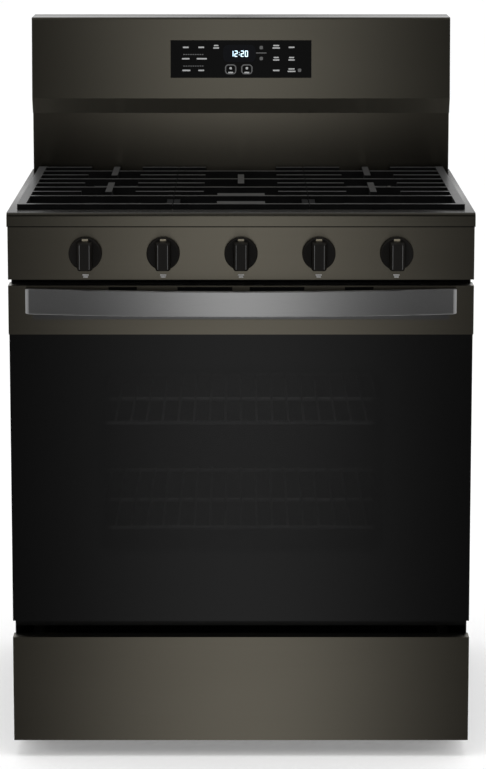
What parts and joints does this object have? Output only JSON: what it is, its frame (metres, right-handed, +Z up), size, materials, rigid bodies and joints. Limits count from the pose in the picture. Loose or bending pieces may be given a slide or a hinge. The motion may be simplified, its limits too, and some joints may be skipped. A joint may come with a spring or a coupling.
{
  "type": "freestanding gas range",
  "caption": "Freestanding gas range with a drop-down oven door, bowed handle, storage drawer, lift-off grates, push-to-turn knobs and a raised rear console.",
  "frame": {"origin": "on the floor, at the middle of the range's overall footprint", "axes": "+Z up, the door and knobs face -Y, +X to the right as a person facing the door sees it"},
  "size_m": [0.7588, 0.7049, 1.1906],
  "materials": {
    "black_stainless": "brushed dark stainless steel, warm grey-brown",
    "handle_steel": "brushed stainless steel",
    "black_paint": "textured black paint",
    "plated_steel": "zinc or chrome plated",
    "black_enamel": "glossy black porcelain enamel",
    "black_plastic": "black moulded plastic",
    "dark_glass": "black tinted glass",
    "seal_rope": "woven heat seal",
    "lamp_glass": "frosted lamp cover",
    "glass_wool": "insulation blanket",
    "circuit_board": "circuit board",
    "valve_brass": "machined brass",
    "cast_aluminium": "cast, satin",
    "ceramic": "glazed white ceramic",
    "cast_grate": "matt black porcelain on cast iron"
  },
  "bodies": {
    "root": {"side_panel_left": "black_paint", "side_panel_right": "black_paint", "rear_cover": "plated_steel", "base_frame": "plated_steel", "leveling_feet": "black_plastic", "front_frame": "black_enamel", "oven_liner": "black_enamel", "oven_floor": "black_enamel", "rack_guides": "plated_steel", "door_gasket": "seal_rope", "bake_burner": "plated_steel", "broil_burner": "plated_steel", "temperature_probe": "plated_steel", "oven_lamp": "lamp_glass", "insulation": "glass_wool", "cooktop_deck": "black_enamel", "cooktop_rim": "black_stainless", "control_panel": "black_stainless", "backsplash": "black_stainless", "console_shell": "black_stainless", "console_back": "black_paint", "touch_glass": "dark_glass", "display_module": "black_plastic", "control_board": "circuit_board", "gas_manifold": "plated_steel", "burner_valves": "valve_brass", "burner_tubes": "plated_steel", "gas_regulator": "cast_aluminium", "burner_bases": "cast_aluminium", "burner_caps": "black_enamel", "spark_electrodes": "ceramic", "drawer_rails": "plated_steel", "hinge_brackets": "plated_steel"},
    "door": {"door_band": "black_stainless", "door_glass": "dark_glass", "door_frame": "black_paint", "door_inner_panel": "black_enamel", "door_inner_glass": "dark_glass", "door_handle": "handle_steel", "handle_mounts": "handle_steel", "door_hinge_arms": "plated_steel"},
    "drawer": {"drawer_front": "black_stainless", "drawer_box": "black_paint", "drawer_runners": "plated_steel"},
    "grate_left": {"grate_left": "cast_grate"},
    "grate_center": {"grate_center": "cast_grate"},
    "grate_right": {"grate_right": "cast_grate"},
    "rack_upper": {"rack_upper": "plated_steel"},
    "rack_lower": {"rack_lower": "plated_steel"},
    "valve_stem_1": {"valve_stem_1": "plated_steel"},
    "knob_1": {"knob_1": "black_plastic"},
    "valve_stem_2": {"valve_stem_2": "plated_steel"},
    "knob_2": {"knob_2": "black_plastic"},
    "valve_stem_3": {"valve_stem_3": "plated_steel"},
    "knob_3": {"knob_3": "black_plastic"},
    "valve_stem_4": {"valve_stem_4": "plated_steel"},
    "knob_4": {"knob_4": "black_plastic"},
    "valve_stem_5": {"valve_stem_5": "plated_steel"},
    "knob_5": {"knob_5": "black_plastic"}
  },
  "joints": [
    {"name": "door_hinge", "type": "hinge", "parent": "root", "child": "door", "pos_m": [0, -0.278, 0.243], "axis": [1, 0, 0], "range_deg": [0, 90], "stiffness_Nm_per_rad": 20, "springref_deg": -11.46},
    {"name": "drawer_slide", "type": "slide", "parent": "root", "child": "drawer", "axis": [0, -1, 0], "range_m": [0, 0.4]},
    {"name": "grate_left_lift", "type": "slide", "parent": "root", "child": "grate_left", "axis": [0, 0, 1], "range_m": [0, 0.12]},
    {"name": "grate_center_lift", "type": "slide", "parent": "root", "child": "grate_center", "axis": [0, 0, 1], "range_m": [0, 0.12]},
    {"name": "grate_right_lift", "type": "slide", "parent": "root", "child": "grate_right", "axis": [0, 0, 1], "range_m": [0, 0.12]},
    {"name": "rack_upper_slide", "type": "slide", "parent": "root", "child": "rack_upper", "axis": [0, -1, 0], "range_m": [0, 0.035]},
    {"name": "rack_lower_slide", "type": "slide", "parent": "root", "child": "rack_lower", "axis": [0, -1, 0], "range_m": [0, 0.035]},
    {"name": "knob_1_push", "type": "slide", "parent": "root", "child": "valve_stem_1", "axis": [0, 1, 0], "range_m": [0, 0.003], "stiffness_N_per_m": 600},
    {"name": "knob_1_turn", "type": "hinge", "parent": "valve_stem_1", "child": "knob_1", "pos_m": [-0.252, -0.3115, 0.849], "axis": [0, -1, 0], "range_deg": [0, 225]},
    {"name": "knob_2_push", "type": "slide", "parent": "root", "child": "valve_stem_2", "axis": [0, 1, 0], "range_m": [0, 0.003], "stiffness_N_per_m": 600},
    {"name": "knob_2_turn", "type": "hinge", "parent": "valve_stem_2", "child": "knob_2", "pos_m": [-0.126, -0.3115, 0.849], "axis": [0, -1, 0], "range_deg": [0, 225]},
    {"name": "knob_3_push", "type": "slide", "parent": "root", "child": "valve_stem_3", "axis": [0, 1, 0], "range_m": [0, 0.003], "stiffness_N_per_m": 600},
    {"name": "knob_3_turn", "type": "hinge", "parent": "valve_stem_3", "child": "knob_3", "pos_m": [0, -0.3115, 0.849], "axis": [0, -1, 0], "range_deg": [0, 225]},
    {"name": "knob_4_push", "type": "slide", "parent": "root", "child": "valve_stem_4", "axis": [0, 1, 0], "range_m": [0, 0.003], "stiffness_N_per_m": 600},
    {"name": "knob_4_turn", "type": "hinge", "parent": "valve_stem_4", "child": "knob_4", "pos_m": [0.126, -0.3115, 0.849], "axis": [0, -1, 0], "range_deg": [0, 225]},
    {"name": "knob_5_push", "type": "slide", "parent": "root", "child": "valve_stem_5", "axis": [0, 1, 0], "range_m": [0, 0.003], "stiffness_N_per_m": 600},
    {"name": "knob_5_turn", "type": "hinge", "parent": "valve_stem_5", "child": "knob_5", "pos_m": [0.252, -0.3115, 0.849], "axis": [0, -1, 0], "range_deg": [0, 225]}
  ]
}
